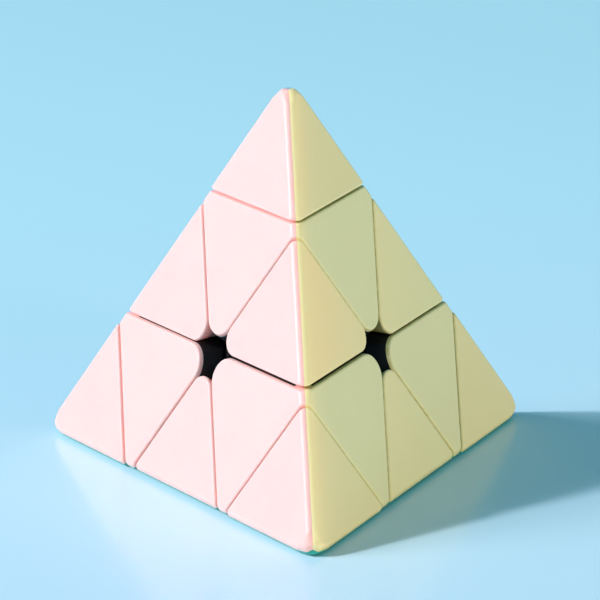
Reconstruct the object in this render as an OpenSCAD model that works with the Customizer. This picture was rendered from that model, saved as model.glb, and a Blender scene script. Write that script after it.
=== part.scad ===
// Pyramid twisty puzzle: four tips, four centres and six edges that turn about a sprung core.
// The origin is the middle of the core, where the four turning axes meet. +Z points to the apex,
// and the front corner points to -Y.

/* [Pyramid] */
// Length of a pyramid edge, between the sharp corners
edge_len = 105; // [98:0.5:114]
// Distance of each layer cut from the middle of the core
layer_cut = 7.5; // [6.8:0.1:8.2]
// Distance of each tip cut from the middle of the core
tip_cut = 36.4; // [35.8:0.1:38.5]
// Gap between neighbouring pieces
gap = 0.35; // [0.25:0.05:0.55]
// How far the tips stand out from the faces of the other pieces
proud = 0.15; // [0:0.05:0.3]

/* [Rounding] */
// Radius of the long ridges between two faces
ridge_r = 1.8; // [1.4:0.1:2.4]
// Radius of the pyramid's corners
tip_r = 2.5; // [2.2:0.1:3]
// Radius of the rims of each piece
rim_r = 0.55; // [0.4:0.05:0.8]
// Corner radius of an edge piece at the face openings
edge_corner_r = 3.8; // [3:0.1:4.6]
// Corner radius of a centre piece at the face openings
centre_corner_r = 4.3; // [3.5:0.1:5]

/* [Walls] */
// Thickness of the coloured panels of tips and edges
panel_wall = 1.8; // [1.4:0.1:2.2]
// Thickness of an edge's coloured panels along the cuts
side_wall = 0.8; // [0.7:0.1:1.2]
// Thickness of the coloured caps of the centres
cap_wall = 0.9; // [0.7:0.05:1.2]
// Depth of a cap along the ridges and at the tip cut
cap_depth = 3.1; // [2.4:0.1:3.4]
// Width of the deep part along a ridge
cap_ridge = 3.9; // [3.6:0.1:4.4]
// Height of the deep part at the tip cut
cap_rim = 1.2; // [0.8:0.1:1.8]
// Side wall of a centre's inner moulding
core_wall = 1.2; // [1:0.1:1.6]
// Thickness of the plate under a tip
tip_plate = 2; // [1.2:0.1:3]
// Thickness of the dish of a centre
dish_wall = 2; // [1.4:0.1:3]

/* [Turning mechanism] */
// Outer radius of the ball in which the feet turn
foot_out = 16; // [14.4:0.1:17]
// Inner radius of the feet
foot_in = 11; // [10:0.1:13]
// Distance of the inner cuts, which run below the layer cuts, from the middle of the core
foot_cut = 4.5; // [3.8:0.1:5.2]
// Running clearance between the inner pieces
play = 0.4; // [0.3:0.05:0.6]
// Outer radius of the block that carries an edge's panels
edge_block = 27; // [24:0.5:30]
// Reach of the core's four arms from its middle
core_r = 7.6; // [6.8:0.1:8.2]
// Radius of the hub between the arms
hub_r = 5.8; // [5.2:0.1:6.2]
// Radius of an arm
arm_r = 3.6; // [3.2:0.1:4]

/* [Screws and springs] */
// Radius of a screw's shank
screw_r = 1.5; // [1.2:0.05:1.7]
// Clearance of the shank in its tapped hole
thread_fit = 0.05; // [0.02:0.01:0.08]
// Distance of a screw's end from the middle of the core
screw_end = 3; // [2.6:0.1:4]
// Height of the spring seat above the middle of the core
spring_seat = 13; // [12:0.1:14]
// Length of a spring as fitted
spring_len = 8; // [7:0.1:9]
// Radius of a spring's turns, to the middle of the wire
spring_r = 2.5; // [2.3:0.05:2.7]
// Radius of the spring wire
wire_r = 0.35; // [0.25:0.05:0.4]
// Turns of a spring
spring_turns = 6; // [4:1:7]
// Radius of a washer
washer_r = 3.2; // [3:0.05:3.4]
// Thickness of a washer
washer_t = 0.6; // [0.4:0.05:1]
// Radius of a screw head
head_r = 2.9; // [2.6:0.05:3.1]
// Height of a screw head
head_h = 2.2; // [1.6:0.1:2.8]
// Width of the cross slot in a screw head
slot_w = 0.8; // [0.6:0.05:1]
// Length of the cross slot in a screw head
slot_l = 3.5; // [2.8:0.1:4.2]

/* [Tip pivots] */
// Radius of a tip's snap post
post_r = 4; // [3.6:0.05:4.3]
// Running clearance of the post in its collar
pivot_fit = 0.05; // [0.03:0.01:0.08]
// Height of the collar on a centre
collar_h = 3; // [2.4:0.1:4]
// How far the bead stands out from the post
bead_out = 0.7; // [0.5:0.05:0.9]
// Height of the bead
bead_h = 1.6; // [1.2:0.1:2]
// Wall of the hollow post
post_wall = 1.4; // [1.2:0.05:1.8]
// Width of the slots that split the post
post_slot = 1; // [0.7:0.1:1.4]
// Wall of the tube round the spring
tube_wall = 2.2; // [1.8:0.1:2.6]

/* [Hidden] */
$fn = 64;
// Turns of the planes that round a ridge or an opening's corner
round_turns = [-30, 0, 30];
// Depth of the flat that ends an edge's outer shape inside the ball of the feet
edge_flat = 0.6;
// Sides of the spring wire, and rings in one turn
wire_sides = 6;
turn_rings = 8;

corner_name = ["apex", "front", "left", "right"];
apex = corner("apex");
front = corner("front");
left = corner("left");
right = corner("right");
// Each face is named after the colour that it has, and found by the corner opposite to it
face_name = ["mint", "blue", "yellow", "pink"];
face_colour = [[0.48, 0.82, 0.77], [0.66, 0.79, 0.93], [0.93, 0.89, 0.62], [0.99, 0.87, 0.86]];
inner_colour = [0.07, 0.07, 0.08];
steel_colour = [0.72, 0.73, 0.75];

// Unit vectors from the middle of the core to the four corners
lean = 2 * sqrt(2) / 3;
to_corner = [
    [0, 0, 1],
    [0, -lean, -1 / 3],
    [-lean * cos(30), lean * sin(30), -1 / 3],
    [lean * cos(30), lean * sin(30), -1 / 3]
];
face_dist = edge_len / (2 * sqrt(6));
ridge_dist = edge_len / (2 * sqrt(2));
span = 2 * edge_len;
half_gap = gap / 2;
half_play = play / 2;

// Places of the corner pieces and of the edge pieces: where each corner of the first one goes
corner_places = [[0, 1, 2, 3], [1, 0, 3, 2], [2, 3, 0, 1], [3, 2, 1, 0]];
edge_places = [[0, 1, 2, 3], [0, 2, 3, 1], [0, 3, 1, 2], [1, 2, 0, 3], [1, 3, 2, 0], [2, 3, 0, 1]];

function corner(name) = search([name], corner_name)[0];
function unit(v) = v / norm(v);
function others(list) = [for (k = [0:3]) if (len(search(k, list)) == 0) k];
function edge_name(p) = str("edge_", corner_name[p[0]], "_", corner_name[p[1]]);

// A plane is [unit normal, distance], and a solid lies on the inner side of each of its planes.
function face_planes(corners, inset) = [for (x = corners) [-to_corner[x], face_dist - inset]];

// Planes that round the ridge between corners i and j, where the faces stand out
function ridge_planes(i, j, out_by, inset) =
    let (
        rest = others([i, j]),
        out = unit(to_corner[i] + to_corner[j]),
        across = unit(to_corner[rest[0]] - to_corner[rest[1]]),
        axis_dist = ridge_dist + sqrt(3) * (out_by - ridge_r)
    )
    [for (turn = round_turns)
        [out * cos(turn) + across * sin(turn), axis_dist * cos(turn) + ridge_r - inset]];

// Planes that round the corner of two cuts, p and q, where they meet the face opposite to x.
// They lean with the depth below the face as the two cuts do.
function corner_planes(x, p, q, r, inset) =
    let (
        inward = to_corner[x],
        tilt = asin(p[0] * inward),
        p_flat = unit(p[0] - inward * (p[0] * inward)),
        q_flat = unit(q[0] - inward * (q[0] * inward)),
        middle = unit(p_flat + q_flat),
        across = unit(p_flat - q_flat),
        side_dist = (p[1] + face_dist * sin(tilt)) / cos(tilt)
    )
    [for (turn = round_turns)
        let (flat_dist = 2 * (side_dist - r) * cos(turn) + r)
        [(middle * cos(turn) + across * sin(turn)) * cos(tilt) + inward * sin(tilt),
            flat_dist * cos(tilt) - face_dist * sin(tilt) - inset]];

function outside_cut(k, dist, inset) = [-to_corner[k], -dist - half_gap - inset];
function inside_cut(k, dist, inset) = [to_corner[k], dist - half_gap - inset];

base_corners = [front, left, right];
edge_faces = [left, right];
tip_top = 3 * (face_dist + proud - tip_r) + tip_r;

// Planes of the apex tip, without its ridges
function tip_planes(face_in, cut_in) = concat(
    face_planes(base_corners, face_in - proud),
    [outside_cut(apex, tip_cut, cut_in), [to_corner[apex], tip_top - face_in]]
);

// Planes that round the apex
function apex_planes(inset) =
    let (middle = tip_top - tip_r)
    [for (k = base_corners, side = [1, -1])
        let (n = unit(to_corner[apex] + side * to_corner[k] * lean / 2))
        [n, middle * n.z + tip_r - inset]];

// Planes of the apex centre, without its ridges
function centre_planes(face_in, cut_in, end_in) = concat(
    face_planes(base_corners, face_in),
    [for (k = base_corners) inside_cut(k, layer_cut, cut_in)],
    [outside_cut(apex, layer_cut, end_in), inside_cut(apex, tip_cut, end_in)],
    [for (x = base_corners)
        let (pair = others([apex, x]))
        each corner_planes(x, inside_cut(pair[0], layer_cut, 0), inside_cut(pair[1], layer_cut, 0),
            centre_corner_r, cut_in)]
);

// Planes of the edge between the apex and the front corner, without its ridge
function edge_planes(faces, face_in, cut_in) = concat(
    face_planes(faces, face_in),
    [for (k = [apex, front]) outside_cut(k, layer_cut, cut_in)],
    [for (x = faces)
        each corner_planes(x, outside_cut(apex, layer_cut, 0), outside_cut(front, layer_cut, 0),
            edge_corner_r, cut_in)]
);

tip_shape = concat(tip_planes(rim_r, rim_r), apex_planes(rim_r),
    [for (k = base_corners) each ridge_planes(apex, k, proud, rim_r)]);
centre_shape = concat(centre_planes(rim_r, rim_r, rim_r),
    [for (k = base_corners) each ridge_planes(apex, k, 0, rim_r)]);
edge_shape = concat(edge_planes(edge_faces, rim_r, rim_r), ridge_planes(apex, front, 0, rim_r),
    [[-unit(to_corner[apex] + to_corner[front]), -sqrt(3) * (layer_cut + half_gap + rim_r) - edge_flat]]);

module half_space(plane) {
    n = plane[0];
    rotate([0, acos(n.z), atan2(n.y, n.x)])
        translate([-span / 2, -span / 2, plane[1] - span])
            cube(span);
}

module solid_of(planes) {
    intersection_for (plane = planes) half_space(plane);
}

// Corners of the ball that rounds the rims. They point along the faces, cuts and ridges and between
// them, so that the ball leaves those planes where they are.
ridge_axes = [for (k = base_corners) unit(to_corner[apex] + to_corner[k])];
signs = [-1, 0, 1];
ball_points = [for (x = signs, y = signs, z = signs)
    if (norm([x, y, z]) > 0) rim_r * unit([x, y, z] * ridge_axes)];

module rim_ball() {
    hull() polyhedron(ball_points, [[for (i = [0:len(ball_points) - 1]) i]]);
}

// The outer shape of a piece, with its rims rounded
module rounded(planes) {
    minkowski() {
        solid_of(planes);
        rim_ball();
    }
}

// Rotation that takes each corner to the corner that the list names
module place(list) {
    columns = [for (r = [0:2]) [for (c = [0:2])
        0.75 * ([for (k = [0:3]) to_corner[list[k]][r] * to_corner[k][c]] * [1, 1, 1, 1])]];
    multmatrix([for (row = columns) concat(row, [0])]) children();
}

// The share of a corner piece that belongs to the face opposite to x
function sector_planes(x) = [for (k = others([apex, x])) [unit(to_corner[x] - to_corner[k]), 0]];

// The share of the front edge piece that belongs to the face opposite to x
function side_planes(x) = let (y = others([apex, front, x])[0]) [[unit(to_corner[x] - to_corner[y]), 0]];

module tip_panel(x) {
    difference() {
        intersection() {
            rounded(tip_shape);
            solid_of(sector_planes(x));
        }
        solid_of(concat(face_planes([x], panel_wall - proud), [[to_corner[apex], tip_top - panel_wall]]));
    }
}

// A thin plate, deeper along its ridges and at the tip cut
module centre_cap(x) {
    difference() {
        intersection() {
            rounded(centre_shape);
            solid_of(sector_planes(x));
        }
        solid_of(concat(face_planes([x], cap_wall), face_planes(others([apex, x]), cap_ridge),
            [inside_cut(apex, tip_cut, cap_rim)]));
        solid_of(face_planes([x], cap_depth));
    }
}

// An edge's panels end above the ball of the feet, and above the inner end of the block under them
block_end = sqrt(3) * (layer_cut + half_gap + side_wall);
panel_end = max(foot_out + half_play, block_end + side_wall);
// Inset of the neck between block and foot, which reaches a wall's thickness into the foot
neck_in = (foot_out - half_play - side_wall) / sqrt(3) - layer_cut - half_gap;

module edge_panel(x) {
    difference() {
        intersection() {
            rounded(edge_shape);
            solid_of(side_planes(x));
        }
        solid_of(edge_planes([x], panel_wall, side_wall));
        sphere(panel_end);
    }
}

centre_top = tip_cut - half_gap;
collar_low = centre_top - collar_h;
bead_top = collar_low - half_play;
bead_low = bead_top - bead_h;
tip_low = tip_cut + half_gap;
pocket_r = washer_r + half_play;
chamber_r = post_r + bead_out + half_play;
stem_in = core_r + half_play;

// Plate under the tip's panels, with the split post that snaps into the centre's collar
module tip_core() {
    color(inner_colour)
    difference() {
        union() {
            intersection() {
                solid_of(tip_planes(panel_wall, 0));
                half_space([to_corner[apex], tip_low + tip_plate]);
            }
            translate([0, 0, bead_low]) cylinder(r = post_r, h = tip_low + tip_plate - bead_low);
            translate([0, 0, bead_low]) cylinder(r = post_r + bead_out, h = bead_h);
        }
        translate([0, 0, bead_low - play]) cylinder(r = post_r - post_wall, h = tip_low - bead_low + play);
        for (turn = [0, 90])
            rotate([0, 0, turn])
                translate([-span / 2, -post_slot / 2, bead_low - play])
                    cube([span, post_slot, collar_low - bead_low + play]);
    }
}

// The pockets round a centre's tube, which the caps close, with a rib under each ridge
module centre_pockets() {
    difference() {
        for (x = base_corners)
            solid_of(concat(
                centre_planes(-cap_wall, core_wall, 0),
                [[to_corner[apex], collar_low]],
                [for (plane = sector_planes(x)) [plane[0], -core_wall / 2]]
            ));
        sphere(foot_out + half_play + dish_wall);
        cylinder(r = chamber_r + tube_wall, h = centre_top);
    }
}

// Room for the deep parts of the three caps
module cap_room() {
    for (x = base_corners) {
        near_face = [to_corner[x], cap_depth - face_dist];
        solid_of([near_face, [-to_corner[apex], cap_rim - centre_top]]);
        for (k = others([apex, x])) solid_of([near_face, [to_corner[k], cap_ridge - face_dist]]);
    }
}

// Stem with the screw's bore, dish over the feet, tube round the spring and collar for the tip
module centre_core() {
    color(inner_colour)
    difference() {
        union() {
            difference() {
                solid_of(centre_planes(cap_wall, 0, 0));
                cap_room();
                centre_pockets();
                sphere(foot_out + half_play);
            }
            intersection() {
                sphere(foot_out + half_play + dish_wall / 2);
                solid_of(concat(
                    [[-to_corner[apex], -foot_cut - half_play]],
                    [for (k = base_corners) [to_corner[k], foot_cut - half_play]]
                ));
            }
        }
        sphere(stem_in);
        cylinder(r = screw_r + half_play, h = centre_top);
        translate([0, 0, spring_seat]) cylinder(r = pocket_r, h = bead_low - spring_seat);
        translate([0, 0, bead_low - play]) cylinder(r = chamber_r, h = collar_low - bead_low + play);
        translate([0, 0, collar_low - play]) cylinder(r = post_r + pivot_fit, h = collar_h + 2 * play);
    }
}

// Ball with its poles on the line across an edge piece
module edge_ball(r) {
    rotate([0, 90, 0]) sphere(r);
}

// Block that carries the edge's panels, its neck, and the foot that hooks under two centres
module edge_core() {
    color(inner_colour)
    union() {
        intersection() {
            solid_of(edge_planes(edge_faces, panel_wall, side_wall));
            edge_ball(edge_block);
        }
        intersection() {
            solid_of(edge_planes(edge_faces, panel_wall, neck_in));
            edge_ball(panel_end - half_play);
        }
        difference() {
            intersection() {
                edge_ball(foot_out - half_play);
                solid_of(concat(
                    [for (k = [apex, front]) [-to_corner[k], -foot_cut - half_play]],
                    [for (k = edge_faces) [to_corner[k], foot_cut - half_play]]
                ));
            }
            edge_ball(foot_in);
        }
    }
}

// Hub with an arm and a tapped hole on each turning axis
module spider_core() {
    color(inner_colour)
    difference() {
        union() {
            sphere(hub_r);
            for (list = corner_places)
                place(list)
                    intersection() {
                        sphere(core_r);
                        cylinder(r = arm_r, h = core_r);
                    }
        }
        for (list = corner_places)
            place(list) translate([0, 0, screw_end]) cylinder(r = screw_r + thread_fit, h = core_r);
    }
}

spring_top = spring_seat + spring_len;
head_low = spring_top + washer_t;

// Screw with a cross slot in its head
module core_screw() {
    color(steel_colour)
    difference() {
        union() {
            translate([0, 0, screw_end]) cylinder(r = screw_r, h = head_low - screw_end);
            translate([0, 0, head_low]) cylinder(r = head_r, h = head_h);
        }
        for (turn = [0, 90])
            rotate([0, 0, turn])
                translate([-slot_l / 2, -slot_w / 2, head_low + head_h / 2])
                    cube([slot_l, slot_w, head_h]);
    }
}

module spring_washer() {
    color(steel_colour)
    translate([0, 0, spring_top])
        difference() {
            cylinder(r = washer_r, h = washer_t);
            translate([0, 0, -washer_t]) cylinder(r = screw_r + thread_fit, h = 3 * washer_t);
        }
}

// Wire swept along a helix between the spring seat and the washer
module tension_spring() {
    rings = spring_turns * turn_rings;
    rise = spring_len - 2 * wire_r;
    points = [for (i = [0:rings], s = [0:wire_sides - 1])
        let (
            round_turn = 360 * i / turn_rings,
            wire_turn = 360 * s / wire_sides,
            reach = spring_r + wire_r * cos(wire_turn)
        )
        [reach * cos(round_turn), reach * sin(round_turn),
            spring_seat + wire_r + rise * i / rings + wire_r * sin(wire_turn)]];
    sides = [for (i = [0:rings - 1], s = [0:wire_sides - 1])
        let (
            a = i * wire_sides + s,
            b = i * wire_sides + (s + 1) % wire_sides
        )
        each [[a, b + wire_sides, b], [a, a + wire_sides, b + wire_sides]]];
    first_end = [for (s = [1:wire_sides - 2]) [0, s, s + 1]];
    last = rings * wire_sides;
    last_end = [for (s = [1:wire_sides - 2]) [last, last + s + 1, last + s]];
    color(steel_colour) polyhedron(points, concat(sides, first_end, last_end));
}

spider_core();
for (list = corner_places) {
    place(list) core_screw();  // core_screws
    place(list) tension_spring();  // tension_springs
    place(list) spring_washer();  // spring_washers
}
for (list = corner_places) {
    centre = str("centre_", corner_name[list[apex]]);
    tip = str("tip_", corner_name[list[apex]]);
    place(list) centre_core();
    place(list) tip_core();
    for (x = base_corners) {
        face = list[x];
        color(face_colour[face]) place(list) centre_cap(x);
        color(face_colour[face]) place(list) tip_panel(x);
    }
}
for (list = edge_places) {
    place(list) edge_core();
    for (x = edge_faces)
        color(face_colour[list[x]]) place(list) edge_panel(x);
}
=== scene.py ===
import math

import bmesh
import bpy
from mathutils import Matrix, Vector


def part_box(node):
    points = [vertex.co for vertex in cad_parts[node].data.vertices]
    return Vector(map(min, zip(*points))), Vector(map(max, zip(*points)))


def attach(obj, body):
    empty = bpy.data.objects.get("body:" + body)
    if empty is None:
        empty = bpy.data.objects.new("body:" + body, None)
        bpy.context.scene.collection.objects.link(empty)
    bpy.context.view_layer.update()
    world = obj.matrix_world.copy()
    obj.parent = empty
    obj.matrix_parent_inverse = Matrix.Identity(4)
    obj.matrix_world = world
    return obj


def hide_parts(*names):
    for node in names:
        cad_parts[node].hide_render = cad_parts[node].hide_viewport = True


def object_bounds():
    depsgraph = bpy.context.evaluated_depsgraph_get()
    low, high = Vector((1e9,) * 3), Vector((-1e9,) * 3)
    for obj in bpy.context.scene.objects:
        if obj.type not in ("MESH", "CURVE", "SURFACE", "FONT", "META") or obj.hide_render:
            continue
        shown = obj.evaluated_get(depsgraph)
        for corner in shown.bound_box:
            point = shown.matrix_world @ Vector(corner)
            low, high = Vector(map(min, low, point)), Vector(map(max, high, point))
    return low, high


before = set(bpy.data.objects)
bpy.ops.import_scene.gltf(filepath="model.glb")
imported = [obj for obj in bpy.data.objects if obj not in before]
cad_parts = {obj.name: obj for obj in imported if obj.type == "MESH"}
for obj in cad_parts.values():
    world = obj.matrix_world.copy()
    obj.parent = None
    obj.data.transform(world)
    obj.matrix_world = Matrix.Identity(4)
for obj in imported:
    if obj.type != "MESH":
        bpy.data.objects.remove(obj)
cadLow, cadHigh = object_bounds()
print("frame loaded:", len(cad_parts), "CAD nodes")

mm = 0.001  # pieces are built in millimetres and stored in metres
cornerNames = ("apex", "front", "left", "right")
faceColours = ("mint", "blue", "yellow", "pink")  # of the face opposite to each corner
apex, front, left, right = range(4)
lean = 2 * math.sqrt(2) / 3  # how far the direction of a lower corner leans out
toCorner = (
    Vector((0, 0, 1)),
    Vector((0, -lean, -1 / 3)),
    Vector((-lean * math.cos(math.pi / 6), lean / 2, -1 / 3)),
    Vector((lean * math.cos(math.pi / 6), lean / 2, -1 / 3)),
)

# where each corner of the first piece of a kind goes
cornerPlaces = ((0, 1, 2, 3), (1, 0, 3, 2), (2, 3, 0, 1), (3, 2, 1, 0))
edgePlaces = ((0, 1, 2, 3), (0, 2, 3, 1), (0, 3, 1, 2), (1, 2, 0, 3), (1, 3, 2, 0), (2, 3, 0, 1))


def heights(node):
    low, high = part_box(node)
    return low.z / mm, high.z / mm


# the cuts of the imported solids
faceDist = -heights("centre_front_mint")[0]
proud = -cadLow.z / mm - faceDist  # how far the tips stand out
ridgeDist = faceDist * math.sqrt(3)
centreHigh = heights("centre_apex_pink")[1]
tipLow, tipTop = heights("tip_apex_pink")
edgeLow = heights("edge_apex_front_pink")[0]
gap = tipLow - centreHigh
tipCut = (tipLow + centreHigh) / 2
layerCut = edgeLow - gap / 2
print(f"cuts read: face {faceDist:.2f}, layer {layerCut:.2f}, tip {tipCut:.2f} mm")
print(f"gaps between pieces {gap:.2f}, tips proud by {proud:.2f} mm")

# roundings of the coloured mouldings, in millimetres and degrees
rounding = {
    "ridge": 1.8,  # radius of the long ridges
    "ridgeSteps": 9,  # facets round a ridge
    "rim": 0.55,  # radius of the rims of each piece
    "rimStep": 14,  # angle of one facet round a rim
    "openingSteps": 9,  # facets round a corner beside an opening
    "tip": 2.35,  # radius of the pyramid's corners, which end in a small flat
    "tipTilt": 9,  # angle of one facet there, down from the corner
    "tipTurn": 15,  # angle of one facet round the corner
    "tipEnd": 70,  # tilt at which these facets stop
    "tipClear": 7,  # angle that they keep from the ridges
    "sharpFrom": 32,  # angle from which an edge stays sharp
    "seam": 0.01,  # half the joint between the two colours on a ridge
}


def others(*taken):
    return [k for k in range(4) if k not in taken]


# a plane is (outward normal, distance), and a solid lies inside all of its planes
def facePlane(x, inset):
    return -toCorner[x], faceDist - inset


def outsideCut(k, distance, inset):
    return -toCorner[k], -distance - gap / 2 - inset


def insideCut(k, distance, inset):
    return toCorner[k], distance - gap / 2 - inset


def spread(steps, halfAngle):
    return [math.radians(halfAngle * (2 * s / (steps + 1) - 1)) for s in range(1, steps + 1)]


def ridgePlanes(i, j, outBy, inset):
    p, q = others(i, j)
    out = (toCorner[i] + toCorner[j]).normalized()
    across = (toCorner[p] - toCorner[q]).normalized()
    axisDist = ridgeDist + math.sqrt(3) * (outBy - rounding["ridge"])
    halfAngle = math.degrees(out.angle(-toCorner[p]))
    return [
        (out * math.cos(t) + across * math.sin(t), axisDist * math.cos(t) + rounding["ridge"] - inset)
        for t in spread(rounding["ridgeSteps"], halfAngle)
    ]


sideAngle = 60  # degrees from the middle of a piece's corner to the normals of its two sides


# rounds the corner of two cuts at the face opposite to x, leaning with depth as the cuts do
def cornerPlanes(x, cutA, cutB, radius, inset):
    inward = toCorner[x]
    tilt = math.asin(cutA[0].dot(inward))
    flatA = (cutA[0] - inward * cutA[0].dot(inward)).normalized()
    flatB = (cutB[0] - inward * cutB[0].dot(inward)).normalized()
    middle, across = (flatA + flatB).normalized(), (flatA - flatB).normalized()
    sideDist = (cutA[1] + faceDist * math.sin(tilt)) / math.cos(tilt)
    axisDist = 2 * (sideDist - radius)  # twice, because the sides meet at 60 degrees
    planes = []
    for t in spread(rounding["openingSteps"], sideAngle):
        flat = middle * math.cos(t) + across * math.sin(t)
        flatDist = axisDist * math.cos(t) + radius
        normal = flat * math.cos(tilt) + inward * math.sin(tilt)
        planes.append((normal, flatDist * math.cos(tilt) - faceDist * math.sin(tilt) - inset))
    return planes


def sectorPlanes(x):  # the share of a corner piece that belongs to one face
    return [((toCorner[x] - toCorner[k]).normalized(), -rounding["seam"]) for k in others(apex, x)]


def sidePlane(x):  # the share of the first edge piece that belongs to one face
    y = others(apex, front, x)[0]
    return (toCorner[x] - toCorner[y]).normalized(), -rounding["seam"]


# limits of the mesh work
meshing = {
    "block": 12,  # size of the block that is cut down, in face distances
    "onPlane": 1e-5,  # mm from a cut within which a vertex lies on it
    "weld": 1e-4,  # mm between vertices that become one
    "flat": 0.3,  # degrees between faces that become one
}


# keeps what lies inside the plane of a convex mesh, and closes it again
def cutOff(bm, normal, distance):
    geometry = bm.verts[:] + bm.edges[:] + bm.faces[:]
    bmesh.ops.bisect_plane(
        bm, geom=geometry, dist=meshing["onPlane"],
        plane_co=normal * distance, plane_no=normal, clear_outer=True,
    )
    rim = [v for v in bm.verts if any(e.is_boundary for e in v.link_edges)]  # in mesh order
    if len(rim) < 3:
        return
    middle = sum((v.co for v in rim), Vector()) / len(rim)
    first = (rim[0].co - middle).normalized()
    second = normal.cross(first)
    rim.sort(key=lambda v: math.atan2((v.co - middle).dot(second), (v.co - middle).dot(first)))
    bm.faces.new(rim)
    bmesh.ops.recalc_face_normals(bm, faces=bm.faces[:])


def convexSolid(planes):
    bm = bmesh.new()
    bmesh.ops.create_cube(bm, size=faceDist * meshing["block"])
    for normal, distance in planes:
        cutOff(bm, normal, distance)
    return bm


# the planes' solid with every rim rounded: the hull of arcs swung between neighbouring faces
def roundedSolid(planes, radius):
    inner = convexSolid(planes)
    inner.normal_update()
    step = math.radians(rounding["rimStep"])
    points = [v.co + f.normal * radius for v in inner.verts for f in v.link_faces]
    for e in inner.edges:
        a, b = (f.normal for f in e.link_faces)
        angle = a.angle(b)
        count = math.ceil(angle / step)
        for s in range(1, count):
            swung = a.slerp(b, s / count)
            points += [v.co + swung * radius for v in e.verts]
    inner.free()
    bm = bmesh.new()
    for p in points:
        bm.verts.new(p)
    bmesh.ops.remove_doubles(bm, verts=bm.verts[:], dist=meshing["weld"])
    hull = bmesh.ops.convex_hull(bm, input=bm.verts[:], use_existing_faces=False)
    unused = hull["geom_interior"] + hull["geom_unused"]
    loose = {g for g in unused if isinstance(g, bmesh.types.BMVert)}
    bmesh.ops.delete(bm, geom=list(loose), context="VERTS")
    flat = math.radians(meshing["flat"])
    bmesh.ops.dissolve_limit(bm, angle_limit=flat, verts=bm.verts[:], edges=bm.edges[:])
    return bm


def workObject(name, bm):
    mesh = bpy.data.meshes.new(name)
    bm.to_mesh(mesh)
    bm.free()
    obj = bpy.data.objects.new(name, mesh)
    bpy.context.scene.collection.objects.link(obj)
    return obj


# takes the tools away from the body with an exact Boolean
def takeAway(body, *tools):
    bodyObject = workObject("cutBody", body)
    toolObjects = [workObject("cutTool", t) for t in tools]
    for t in toolObjects:
        cut = bodyObject.modifiers.new("cut", "BOOLEAN")
        cut.operation, cut.solver, cut.object = "DIFFERENCE", "EXACT", t
    bm = bmesh.new()
    bm.from_object(bodyObject, bpy.context.evaluated_depsgraph_get())
    for obj in [bodyObject] + toolObjects:
        mesh = obj.data
        bpy.data.objects.remove(obj)
        bpy.data.meshes.remove(mesh)
    return bm


# each kind of coloured moulding is made once, at the apex or the front ridge
baseCorners = (front, left, right)
edgeFaces = (left, right)
tipPanel = {"wall": 1.8}  # mm


def ballPlanes(inset):  # rounds the apex
    radius = rounding["tip"]
    middle = 3 * (faceDist + proud - radius)
    clear = math.sin(math.radians(rounding["tipClear"]))
    ridges = [(toCorner[apex] - toCorner[k]).normalized() for k in baseCorners]
    planes = [(toCorner[apex], tipTop - inset)]
    for tilt in range(rounding["tipTilt"], rounding["tipEnd"], rounding["tipTilt"]):
        for turn in range(0, 360, rounding["tipTurn"]):
            normal = Vector((math.sin(math.radians(tilt)), 0, math.cos(math.radians(tilt))))
            normal.rotate(Matrix.Rotation(math.radians(turn), 3, "Z"))
            if min(normal.dot(ridge) for ridge in ridges) > clear:
                planes.append((normal, middle * normal.z + radius - inset))
    return planes


def tipPanels():
    rim = rounding["rim"]
    planes = [facePlane(x, rim - proud) for x in baseCorners] + [outsideCut(apex, tipCut, rim)]
    for k in baseCorners:
        planes += ridgePlanes(apex, k, proud, rim)
    planes += ballPlanes(rim)
    body = roundedSolid(planes, rim)
    panels = {}
    for x in baseCorners:
        panels[x] = body.copy()
        for plane in sectorPlanes(x) + [(toCorner[x], tipPanel["wall"] - proud - faceDist)]:
            cutOff(panels[x], *plane)
    return panels


# sizes in millimetres
centreCap = {
    "wall": 0.9,
    "depth": 3.1,
    "ridgeWidth": 3.9,
    "rimHeight": 1.2,
    "cornerRadius": 4.3,  # beside the openings
}


def centreCaps():
    rim = rounding["rim"]
    planes = [facePlane(x, rim) for x in baseCorners]
    planes += [insideCut(k, layerCut, rim) for k in baseCorners]
    planes += [outsideCut(apex, layerCut, rim), insideCut(apex, tipCut, rim)]
    for x in baseCorners:
        planes += ridgePlanes(apex, x, 0, rim)
        cutA, cutB = (insideCut(k, layerCut, 0) for k in others(apex, x))
        planes += cornerPlanes(x, cutA, cutB, centreCap["cornerRadius"], rim)
    body = roundedSolid(planes, rim)
    caps = {}
    for x in baseCorners:
        cap = body.copy()
        for plane in sectorPlanes(x) + [(toCorner[x], centreCap["depth"] - faceDist)]:
            cutOff(cap, *plane)
        hollow = [facePlane(x, centreCap["wall"]), insideCut(apex, tipCut, centreCap["rimHeight"])]
        hollow += [facePlane(k, centreCap["ridgeWidth"]) for k in others(apex, x)]
        caps[x] = takeAway(cap, convexSolid(hollow))
    return caps


# sizes in millimetres
edgePanel = {
    "wall": 1.8,
    "sideWall": 0.8,
    "cornerRadius": 3.8,  # beside the openings
    "endFlat": 0.6,  # cut off the inner end
    "footBall": 16.2,  # radius of the room for the foot
    "ballSegments": 96,
    "slack": 0.28,  # how high the front edge stands in its play
}


def edgePlanes(faces, faceInset, cutInset):
    planes = [facePlane(x, faceInset) for x in faces]
    planes += [outsideCut(k, layerCut, cutInset) for k in (apex, front)]
    for x in faces:
        cutA, cutB = (outsideCut(k, layerCut, 0) for k in (apex, front))
        planes += cornerPlanes(x, cutA, cutB, edgePanel["cornerRadius"], cutInset)
    return planes


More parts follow.
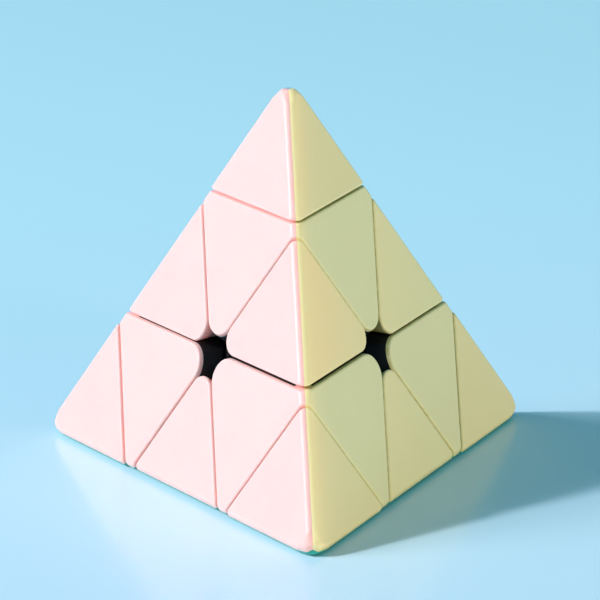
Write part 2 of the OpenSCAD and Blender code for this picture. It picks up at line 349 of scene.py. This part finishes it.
def edgePanels():
    rim = rounding["rim"]
    segments = edgePanel["ballSegments"]
    inward = -(toCorner[apex] + toCorner[front]).normalized()
    endDist = -math.sqrt(3) * (layerCut + gap / 2 + rim) - edgePanel["endFlat"]
    planes = edgePlanes(edgeFaces, rim, rim) + ridgePlanes(apex, front, 0, rim) + [(inward, endDist)]
    body = roundedSolid(planes, rim)
    panels = {}
    for x in edgeFaces:
        half = body.copy()
        cutOff(half, *sidePlane(x))
        hollow = convexSolid(edgePlanes([x], edgePanel["wall"], edgePanel["sideWall"]))
        ball = bmesh.new()
        bmesh.ops.create_uvsphere(
            ball, u_segments=segments, v_segments=segments // 2, radius=edgePanel["footBall"]
        )
        panels[x] = takeAway(half, hollow, ball)
    return panels


# the turn that takes each corner to the corner the list names
def placeMatrix(places):
    share = 3 / 4  # the four directions' outer products add up to 4/3 of the identity
    m = Matrix.Diagonal((0, 0, 0))
    for k, target in enumerate(places):
        a, b = toCorner[target], toCorner[k]
        m += Matrix([[share * a[r] * b[c] for c in range(3)] for r in range(3)])
    return m


# one coloured moulding in its place, riding on its body instead of the CAD panel
def setPanel(source, places, x, body, material):
    colour = faceColours[places[x]]
    node = f"{body}_{colour}"
    mesh = bpy.data.meshes.new(node + "_panel")
    source.to_mesh(mesh)
    depth = mesh.attributes.new("depth", "FLOAT", "POINT")  # in millimetres below the face
    depth.data.foreach_set("value", [faceDist + toCorner[x].dot(v.co) for v in mesh.vertices])
    mesh.transform((placeMatrix(places) * mm).to_4x4())
    if body == "edge_apex_front":  # its play lets it stand a little high
        mesh.transform(Matrix.Translation((0, 0, edgePanel["slack"] * mm)))
    mesh.shade_smooth()
    mesh.set_sharp_from_angle(angle=math.radians(rounding["sharpFrom"]))
    mesh.materials.append(material)
    obj = bpy.data.objects.new(node + "_panel", mesh)
    bpy.context.scene.collection.objects.link(obj)
    smooth = obj.modifiers.new("flatFaces", "WEIGHTED_NORMAL")
    smooth.keep_sharp = True
    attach(obj, body)
    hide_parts(node)


# shader nodes and groups of them
def newGroup(name, inputs, outputs):
    tree = bpy.data.node_groups.new(name, "ShaderNodeTree")
    for label, kind, value in inputs:
        tree.interface.new_socket(label, in_out="INPUT", socket_type=kind).default_value = value
    for label, kind in outputs:
        tree.interface.new_socket(label, in_out="OUTPUT", socket_type=kind)
    return tree, tree.nodes.new("NodeGroupInput"), tree.nodes.new("NodeGroupOutput")


def addNode(tree, kind, **values):
    made = tree.nodes.new(kind)
    for key, value in values.items():
        setattr(made, key, value)
    return made


def feed(tree, socket, value):  # with another socket or with a plain value
    if isinstance(value, bpy.types.NodeSocket):
        tree.links.new(value, socket)
    else:
        socket.default_value = value


def noise(tree, size, detail):  # size of its lumps in millimetres
    place = addNode(tree, "ShaderNodeTexCoord")
    made = addNode(tree, "ShaderNodeTexNoise")
    made.inputs["Scale"].default_value = 1 / (size * mm)
    made.inputs["Detail"].default_value = detail
    tree.links.new(place.outputs["Object"], made.inputs["Vector"])
    return made.outputs["Fac"]


def mapRange(tree, value, fromLow, fromHigh, toLow, toHigh):
    made = addNode(tree, "ShaderNodeMapRange", clamp=True)
    feed(tree, made.inputs["Value"], value)
    feed(tree, made.inputs["From Min"], fromLow)
    feed(tree, made.inputs["From Max"], fromHigh)
    feed(tree, made.inputs["To Min"], toLow)
    feed(tree, made.inputs["To Max"], toHigh)
    return made.outputs["Result"]


def math2(tree, operation, a, b):
    made = addNode(tree, "ShaderNodeMath", operation=operation)
    feed(tree, made.inputs[0], a)
    feed(tree, made.inputs[1], b)
    return made.outputs[0]


def mixColour(tree, factor, a, b):
    made = addNode(tree, "ShaderNodeMix", data_type="RGBA")
    sockets = [s for s in made.inputs if s.enabled]
    for socket, value in zip(sockets, (factor, a, b)):
        feed(tree, socket, value)
    return next(s for s in made.outputs if s.enabled)


# fine moulding grain and the slow ripple of a moulded wall, each a noise of (size in mm, detail)
mouldLumps = {"ripple": (7.0, 1.0), "grain": (0.35, 2.0), "patch": (4.0, 3.0)}


def makeMouldGrain():
    tree, given, out = newGroup(
        "mould grain",
        [("Ripple", "NodeSocketFloat", 0.3), ("Grain", "NodeSocketFloat", 0.2),
         ("Roughness", "NodeSocketFloat", 0.4), ("Roughness Spread", "NodeSocketFloat", 0.06)],
        [("Height", "NodeSocketFloat"), ("Roughness", "NodeSocketFloat")],
    )
    ripple = math2(tree, "MULTIPLY", noise(tree, *mouldLumps["ripple"]), given.outputs["Ripple"])
    grain = math2(tree, "MULTIPLY", noise(tree, *mouldLumps["grain"]), given.outputs["Grain"])
    tree.links.new(math2(tree, "ADD", ripple, grain), out.inputs["Height"])
    patch = math2(tree, "SUBTRACT", noise(tree, *mouldLumps["patch"]), 0.5)  # up and down alike
    change = math2(tree, "MULTIPLY", patch, given.outputs["Roughness Spread"])
    tree.links.new(math2(tree, "ADD", change, given.outputs["Roughness"]), out.inputs["Roughness"])
    return tree


# slow drift of tone from flow and cooling in the mould
driftCloud = {"lumps": (16.0, 3.0), "from": 0.35, "full": 0.68}  # lumps of (size in mm, detail)


def makeToneDrift():
    tree, given, out = newGroup(
        "tone drift",
        [("Colour", "NodeSocketColor", (1, 1, 1, 1)), ("Drift Colour", "NodeSocketColor", (1, 1, 1, 1)),
         ("Amount", "NodeSocketFloat", 0.3)],
        [("Colour", "NodeSocketColor")],
    )
    lumps = noise(tree, *driftCloud["lumps"])
    cloud = mapRange(tree, lumps, driftCloud["from"], driftCloud["full"], 0.0, given.outputs["Amount"])
    mixed = mixColour(tree, cloud, given.outputs["Colour"], given.outputs["Drift Colour"])
    tree.links.new(mixed, out.inputs["Colour"])
    return tree


# rims smoothed by handling, with a darker rim colour on yellow that is painted shade; painted shade as a
# deeper tone in the walls of the gaps; and a painted glow in those walls, given off as emission
rimZones = {
    "lumps": (1.6, 4.0),  # size in mm and detail of the patches that handling smoothed, which also break up the painted shade on yellow rims
    "patchFrom": 0.38,
    "patchFull": 0.62,
    "leastRubAndShade": 0.35,  # between the patches
    "lightFrom": 0.3,  # mm below the face
    "lightFull": 0.9,  # mm
    "lightFades": 1.2,  # mm
    "wallDeep": 3.0,  # mm
}


def makeRimWearAndPaintedLight():
    tree, given, out = newGroup(
        "rim wear and painted light",
        [("Colour", "NodeSocketColor", (1, 1, 1, 1)), ("Worn Colour", "NodeSocketColor", (1, 1, 1, 1)),
         ("Deep Colour", "NodeSocketColor", (1, 1, 1, 1)), ("Roughness", "NodeSocketFloat", 0.4),
         ("Amount", "NodeSocketFloat", 0.3), ("Polish", "NodeSocketFloat", 0.1),
         ("Through", "NodeSocketFloat", 0.1)],
        [("Colour", "NodeSocketColor"), ("Roughness", "NodeSocketFloat"), ("Glow", "NodeSocketFloat")],
    )
    depth = addNode(tree, "ShaderNodeAttribute", attribute_name="depth").outputs["Fac"]
    onRim = mapRange(tree, depth, 0.0, rounding["rim"], 0.0, 1.0)
    lumps = noise(tree, *rimZones["lumps"])
    broken = mapRange(tree, lumps, rimZones["patchFrom"], rimZones["patchFull"],
                      rimZones["leastRubAndShade"], 1.0)
    # the rim mask; on yellow it lays painted shade on the rims
    rubbedAndShadedRim = math2(tree, "MULTIPLY", onRim, broken)
    amount = math2(tree, "MULTIPLY", rubbedAndShadedRim, given.outputs["Amount"])
    mixed = mixColour(tree, amount, given.outputs["Colour"], given.outputs["Worn Colour"])
    # painted shade: a deeper tone down the walls of the gaps
    paintedShadeMask = mapRange(tree, depth, rounding["rim"], rimZones["wallDeep"], 0.0, 1.0)
    tree.links.new(mixColour(tree, paintedShadeMask, mixed, given.outputs["Deep Colour"]), out.inputs["Colour"])
    # painted glow near the top of those walls
    lit = mapRange(tree, depth, rimZones["lightFrom"], rimZones["lightFull"],
                   0.0, given.outputs["Through"])
    faded = mapRange(tree, depth, rimZones["lightFades"], rimZones["wallDeep"], 1.0, 0.0)
    tree.links.new(math2(tree, "MULTIPLY", lit, faded), out.inputs["Glow"])
    polish = math2(tree, "MULTIPLY", rubbedAndShadedRim, given.outputs["Polish"])
    tree.links.new(math2(tree, "SUBTRACT", given.outputs["Roughness"], polish), out.inputs["Roughness"])
    return tree


# a few dark specks moulded into or lying on the surface, with sizes in millimetres
def makeSpecks():
    tree, given, out = newGroup(
        "specks",
        [("Spacing", "NodeSocketFloat", 9.0), ("Speck Size", "NodeSocketFloat", 0.16),
         ("Share", "NodeSocketFloat", 0.2)],
        [("Mask", "NodeSocketFloat")],
    )
    place = addNode(tree, "ShaderNodeTexCoord")
    cells = addNode(tree, "ShaderNodeTexVoronoi")
    spacing = math2(tree, "MULTIPLY", given.outputs["Spacing"], mm)
    tree.links.new(place.outputs["Object"], cells.inputs["Vector"])
    tree.links.new(math2(tree, "DIVIDE", 1.0, spacing), cells.inputs["Scale"])
    reach = math2(tree, "DIVIDE", given.outputs["Speck Size"], given.outputs["Spacing"])
    near = math2(tree, "LESS_THAN", cells.outputs["Distance"], reach)
    split = addNode(tree, "ShaderNodeSeparateColor")
    tree.links.new(cells.outputs["Color"], split.inputs["Color"])
    chosen = math2(tree, "LESS_THAN", split.outputs[0], given.outputs["Share"])
    tree.links.new(math2(tree, "MULTIPLY", near, chosen), out.inputs["Mask"])
    return tree


# painted glow: light carried under the skin from the lit face next to it, laid into the colour, strongest
# at the ridge
def makePaintedSkinGlow():
    tree, given, out = newGroup(
        "painted skin glow",
        [("Face Normal", "NodeSocketVector", (0, 0, 1)), ("Reach", "NodeSocketFloat", 5.0),
         ("Amount", "NodeSocketFloat", 0.5)],
        [("Mask", "NodeSocketFloat")],
    )
    place = addNode(tree, "ShaderNodeTexCoord")
    along = addNode(tree, "ShaderNodeVectorMath", operation="DOT_PRODUCT")
    tree.links.new(place.outputs["Object"], along.inputs[0])
    tree.links.new(given.outputs["Face Normal"], along.inputs[1])
    depth = math2(tree, "ADD", math2(tree, "DIVIDE", along.outputs["Value"], mm), faceDist)
    fade = math2(tree, "DIVIDE", depth, math2(tree, "MULTIPLY", given.outputs["Reach"], -1.0))
    glow = addNode(tree, "ShaderNodeMath", operation="EXPONENT")
    tree.links.new(fade, glow.inputs[0])
    held = math2(tree, "MINIMUM", glow.outputs[0], 1.0)
    tree.links.new(math2(tree, "MULTIPLY", held, given.outputs["Amount"]), out.inputs["Mask"])
    return tree


mouldGrain = makeMouldGrain()
toneDrift = makeToneDrift()
rimWearAndPaintedLight = makeRimWearAndPaintedLight()
specks = makeSpecks()
paintedSkinGlow = makePaintedSkinGlow()


def placeGroup(tree, group, **values):
    made = addNode(tree, "ShaderNodeGroup", node_tree=group)
    for key, value in values.items():
        label = "".join(" " + c if c.isupper() else c for c in key).strip().title()
        feed(tree, made.inputs[label], value)
    return made


def linear(r, g, b):  # from display values of 0 to 255
    parts = [v / 255 for v in (r, g, b)]
    return tuple(p / 12.92 if p <= 0.04045 else ((p + 0.055) / 1.055) ** 2.4 for p in parts) + (1.0,)


def newMaterial(name):
    material = bpy.data.materials.new(name)
    material.use_nodes = True
    tree = material.node_tree
    shader = next(n for n in tree.nodes if n.type == "BSDF_PRINCIPLED")
    return material, tree, shader


def addBump(tree, shader, height, strength, distance):
    bump = addNode(tree, "ShaderNodeBump")
    bump.inputs["Strength"].default_value = strength
    bump.inputs["Distance"].default_value = distance * mm
    tree.links.new(height, bump.inputs["Height"])
    tree.links.new(bump.outputs["Normal"], shader.inputs["Normal"])


# satin pastel plastic, one finish for each face and kind of piece, with painted shade, glows and a
# painted highlight laid into some colours
pastel = {
    "roughness": 0.42,
    "spread": 0.08,  # of the roughness
    "ripple": 0.5,
    "grain": 0.1,
    "bump": 0.12,
    "bumpDepth": 0.2,  # mm
    "drift": 0.35,
    "driftShade": (0.985, 0.975, 0.97),  # of the colour where it has drifted
    "polish": 0.08,
    "ior": 1.53,
    "scatter": {"pink": 0.9, "yellow": 0.15, "blue": 0.5, "mint": 0.3},  # share of light under the skin
    "scatterDepth": 1.4,  # mm
    "scatterReach": (1.0, 0.6, 0.5),  # share of that depth for red, green and blue
    "through": {"pink": 0.2, "yellow": 0.03, "blue": 0.1, "mint": 0.05},  # painted glow in the walls of the gaps, given off as emission
    "pink": {"tip": (236, 193, 182), "centre": (236, 194, 183), "edge": (236, 193, 182)},
    "yellow": {"tip": (230, 227, 170), "centre": (225, 229, 176), "edge": (223, 229, 174)},
    "blue": {"tip": (158, 192, 230), "centre": (156, 191, 231), "edge": (159, 193, 230)},
    "mint": {"tip": (40, 168, 151), "centre": (38, 168, 152), "edge": (41, 169, 151)},
    # painted shade: a deeper tone for the walls of the gaps, which is also the colour of their painted
    # glow
    "deep": {
        "pink": (248, 165, 154),
        "yellow": (206, 186, 96),
        "blue": (110, 152, 206),
        "mint": (34, 140, 124),
    },
    # rim colours: paler where handling has smoothed pink, blue and mint; on yellow darker, painted shade
    # on its rims
    "worn": {
        "pink": (242, 194, 190),
        "yellow": (188, 182, 106),
        "blue": (166, 202, 242),
        "mint": (56, 180, 165),
    },
    # how much of the rim colour the rims take: wear, and on yellow painted shade
    "wear": {"pink": 0.3, "yellow": 0.8, "blue": 0.3, "mint": 0.3},
    "warm": (255, 231, 168),  # painted glow: yellow as lit by light from the pink face, laid into the colour
    "paintedWarmGlowAmount": {"tip": 1.0, "centre": 0.4, "edge": 1.1},
    "paintedWarmGlowReach": {"tip": 4.5, "centre": 3.0, "edge": 22.0},  # mm
    "paintedRidgeHighlight": (255, 243, 178),  # painted highlight: yellow lit on the ridge, where it meets the pink
    "paintedRidgeHighlightAmount": 2.0,
    "paintedRidgeHighlightReach": 1.7,  # mm
    "speck": (70, 52, 44),
    "speckSpacing": 9.0,  # mm
    "speckSize": 0.16,  # mm
    "speckShare": 0.2,  # of the places that get one
}


# lays painted light from the pink face over a tone of the yellow one
def addPaintedGlow(tree, tone, colour, reach, amount):
    glow = placeGroup(tree, paintedSkinGlow, faceNormal=toCorner[right], reach=reach, amount=amount)
    return mixColour(tree, glow.outputs["Mask"], tone, linear(*colour))


def pastelPlastic(colour, kind):
    material, tree, shader = newMaterial(f"{colour} {kind} plastic")
    base = pastel[colour][kind]
    drifted = [v * shade for v, shade in zip(base, pastel["driftShade"])]
    drift = placeGroup(tree, toneDrift, colour=linear(*base), driftColour=linear(*drifted),
                       amount=pastel["drift"])
    tone = drift.outputs["Colour"]
    if colour == "yellow":
        # painted glow from the lit pink face
        tone = addPaintedGlow(tree, tone, pastel["warm"], pastel["paintedWarmGlowReach"][kind], pastel["paintedWarmGlowAmount"][kind])
    skin = placeGroup(tree, mouldGrain, ripple=pastel["ripple"], grain=pastel["grain"],
                      roughness=pastel["roughness"], roughnessSpread=pastel["spread"])
    # painted shade for the gap walls, and the colour of their painted glow
    deep = linear(*pastel["deep"][colour])
    # rim colour with wear, painted shade on yellow rims and in the gap walls, and the painted glow
    worn = placeGroup(tree, rimWearAndPaintedLight, colour=tone, wornColour=linear(*pastel["worn"][colour]),
                      deepColour=deep, roughness=skin.outputs["Roughness"], amount=pastel["wear"][colour],
                      polish=pastel["polish"], through=pastel["through"][colour])
    tone = worn.outputs["Colour"]
    if colour == "yellow":
        # painted highlight on the ridge beside the pink
        tone = addPaintedGlow(tree, tone, pastel["paintedRidgeHighlight"], pastel["paintedRidgeHighlightReach"], pastel["paintedRidgeHighlightAmount"])
    speck = placeGroup(tree, specks, spacing=pastel["speckSpacing"], speckSize=pastel["speckSize"],
                       share=pastel["speckShare"])
    spotted = mixColour(tree, speck.outputs["Mask"], tone, linear(*pastel["speck"]))
    # painted glow: the gap walls give off their deeper tone as emission
    paintedGlowColour = mixColour(tree, worn.outputs["Glow"], linear(0, 0, 0), deep)
    tree.links.new(spotted, shader.inputs["Base Color"])
    tree.links.new(worn.outputs["Roughness"], shader.inputs["Roughness"])
    tree.links.new(paintedGlowColour, shader.inputs["Emission Color"])
    shader.inputs["Emission Strength"].default_value = 1.0
    shader.inputs["Subsurface Weight"].default_value = pastel["scatter"][colour]
    shader.inputs["Subsurface Scale"].default_value = pastel["scatterDepth"] * mm
    shader.inputs["Subsurface Radius"].default_value = pastel["scatterReach"]
    shader.inputs["IOR"].default_value = pastel["ior"]
    addBump(tree, shader, skin.outputs["Height"], pastel["bump"], pastel["bumpDepth"])
    return material


# tone, roughness and grain of a piece inside
def addFinish(tree, shader, finish):
    tone = placeGroup(tree, toneDrift, colour=linear(*finish["colour"]),
                      driftColour=linear(*finish["driftColour"]), amount=finish["drift"])
    skin = placeGroup(tree, mouldGrain, ripple=finish["ripple"], grain=finish["grain"],
                      roughness=finish["roughness"], roughnessSpread=finish["spread"])
    tree.links.new(tone.outputs["Colour"], shader.inputs["Base Color"])
    tree.links.new(skin.outputs["Roughness"], shader.inputs["Roughness"])
    addBump(tree, shader, skin.outputs["Height"], finish["bump"], finish["bumpDepth"])


# matt black mouldings inside
innerPlastic = {
    "colour": (7, 7, 8),
    "driftColour": (13, 13, 14),
    "drift": 0.5,
    "roughness": 0.6,
    "spread": 0.15,  # of the roughness
    "ripple": 0.3,
    "grain": 0.5,
    "bump": 0.25,
    "bumpDepth": 0.1,  # mm
}


def blackPlastic():
    material, tree, shader = newMaterial("black inner plastic")
    addFinish(tree, shader, innerPlastic)
    return material


# screws, washers and springs
steel = {
    "colour": (196, 197, 200),
    "driftColour": (150, 150, 152),
    "drift": 0.6,
    "roughness": 0.28,
    "spread": 0.2,  # of the roughness
    "ripple": 0.1,
    "grain": 0.6,
    "bump": 0.2,
    "bumpDepth": 0.05,  # mm
}
steelNodes = ("core_screws", "tension_springs", "spring_washers")


def springSteel():
    material, tree, shader = newMaterial("bright steel")
    addFinish(tree, shader, steel)
    shader.inputs["Metallic"].default_value = 1.0
    return material


pastels = {(c, k): pastelPlastic(c, k) for c in faceColours for k in ("tip", "centre", "edge")}
inner, bright = blackPlastic(), springSteel()
print("materials made:", len(pastels) + 2)

for kind, panels in (("tip", tipPanels()), ("centre", centreCaps())):
    for places in cornerPlaces:
        body = f"{kind}_{cornerNames[places[apex]]}"
        for x in baseCorners:
            setPanel(panels[x], places, x, body, pastels[faceColours[places[x]], kind])
    print(kind, "panels set, with", len(panels[front].faces), "faces each")

panels = edgePanels()
for places in edgePlaces:
    body = f"edge_{cornerNames[places[apex]]}_{cornerNames[places[front]]}"
    for x in edgeFaces:
        setPanel(panels[x], places, x, body, pastels[faceColours[places[x]], "edge"])
print("edge panels set, with", len(panels[left].faces), "faces each")

for name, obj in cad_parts.items():
    if not obj.hide_render:
        obj.data.materials.clear()
        obj.data.materials.append(bright if name in steelNodes else inner)
print("inner mouldings and steel parts finished")

# pale floor, less green and blue at the front and more at the back: painted shade at the front and
# painted light at the back
floorSheet = {
    "half": 12.0,  # m
    "squares": 8,
    "near": (202, 235, 245),
    "far": (196, 243, 250),
    "nearY": -0.08,  # m
    "farY": 0.2,  # m
    "roughness": 0.18,
    "sheen": 0.35,
}


def layFloor():
    squares = floorSheet["squares"]
    bm = bmesh.new()
    bmesh.ops.create_grid(bm, x_segments=squares, y_segments=squares, size=floorSheet["half"])
    mesh = bpy.data.meshes.new("floor")
    bm.to_mesh(mesh)
    bm.free()
    obj = bpy.data.objects.new("floor", mesh)
    obj.location.z = cadLow.z
    bpy.context.scene.collection.objects.link(obj)
    material, tree, shader = newMaterial("floor paper")
    place = addNode(tree, "ShaderNodeSeparateXYZ")
    tree.links.new(addNode(tree, "ShaderNodeTexCoord").outputs["Object"], place.inputs["Vector"])
    # painted light and shade: the floor's colour runs from the front tone to the back tone
    away = mapRange(tree, place.outputs["Y"], floorSheet["nearY"], floorSheet["farY"], 0.0, 1.0)
    tone = mixColour(tree, away, linear(*floorSheet["near"]), linear(*floorSheet["far"]))
    tree.links.new(tone, shader.inputs["Base Color"])
    shader.inputs["Roughness"].default_value = floorSheet["roughness"]
    shader.inputs["Specular IOR Level"].default_value = floorSheet["sheen"]
    mesh.materials.append(material)


layFloor()

# soft studio light, with sizes in metres, spreads in degrees and powers in watts
studio = {
    "distance": 4.5,  # m
    "key": {
        "towards": (-0.828, -0.136, 0.543),
        "size": 0.36,
        "spread": 130,
        "power": 73.8,
        "colour": (0.95, 0.893, 1.0),
    },
    "softbox": {
        "towards": (-0.89, -0.03, 0.455),
        "size": 2.4,
        "spread": 130,
        "power": 82.4,
        "colour": (0.95, 0.893, 1.0),
    },
    "fill": {
        "towards": (0.68, -0.73, 0.025),
        "size": 0.9,
        "spread": 180,
        "power": 197.0,
        "colour": (1.0, 0.705, 0.525),
    },
    "sky": (0.29, 0.79, 1.04, 1.0),
    "skyStrength": 0.35,
}


def lightStudio():
    for name in ("key", "softbox", "fill"):
        values = studio[name]
        light = bpy.data.lights.new(name, "AREA")
        light.shape = "DISK"
        light.size = values["size"]
        light.spread = math.radians(values["spread"])
        light.energy = values["power"]
        light.color = values["colour"]
        lamp = bpy.data.objects.new(name, light)
        towards = Vector(values["towards"]).normalized()
        lamp.location = towards * studio["distance"]
        lamp.rotation_mode = "QUATERNION"
        lamp.rotation_quaternion = towards.to_track_quat("Z", "Y")
        lamp.visible_glossy = name == "key"  # one clear highlight
        bpy.context.scene.collection.objects.link(lamp)
    world = bpy.data.worlds.new("studio")
    world.use_nodes = True
    sky = next(n for n in world.node_tree.nodes if n.type == "BACKGROUND")
    sky.inputs["Color"].default_value = studio["sky"]
    sky.inputs["Strength"].default_value = studio["skyStrength"]
    bpy.context.scene.world = world
    bpy.context.scene.view_settings.view_transform = "Standard"


lightStudio()
print("floor and light set")

# the photograph's viewpoint, round the middle of the core
viewpoint = {
    "azimuth": -3.5402,  # degrees to the right of the front corner
    "elevation": 16.9821,  # degrees
    "roll": -0.8895,  # degrees
    "distance": 1.00147,  # m
    "across": 0.0015063,  # m to the camera's right
    "up": 0.0140014,  # m
    "lens": 289.181,  # mm
    "sensor": 36.0,  # mm
}


def setCamera():
    azimuth, elevation, roll = (math.radians(viewpoint[k]) for k in ("azimuth", "elevation", "roll"))
    back = Vector((
        math.sin(azimuth) * math.cos(elevation),
        -math.cos(azimuth) * math.cos(elevation),
        math.sin(elevation),
    ))
    side = Vector((math.cos(azimuth), math.sin(azimuth), 0))
    up = back.cross(side)
    rolledSide = side * math.cos(roll) + up * math.sin(roll)
    rolledUp = up * math.cos(roll) - side * math.sin(roll)
    lens = bpy.data.cameras.new("camera")
    lens.lens, lens.sensor_width = viewpoint["lens"], viewpoint["sensor"]
    camera = bpy.data.objects.new("camera", lens)
    place = back * viewpoint["distance"] + rolledSide * viewpoint["across"] + rolledUp * viewpoint["up"]
    turn = Matrix((rolledSide, rolledUp, back)).transposed().to_4x4()
    camera.matrix_world = Matrix.Translation(place) @ turn
    bpy.context.scene.collection.objects.link(camera)
    bpy.context.scene.camera = camera


setCamera()
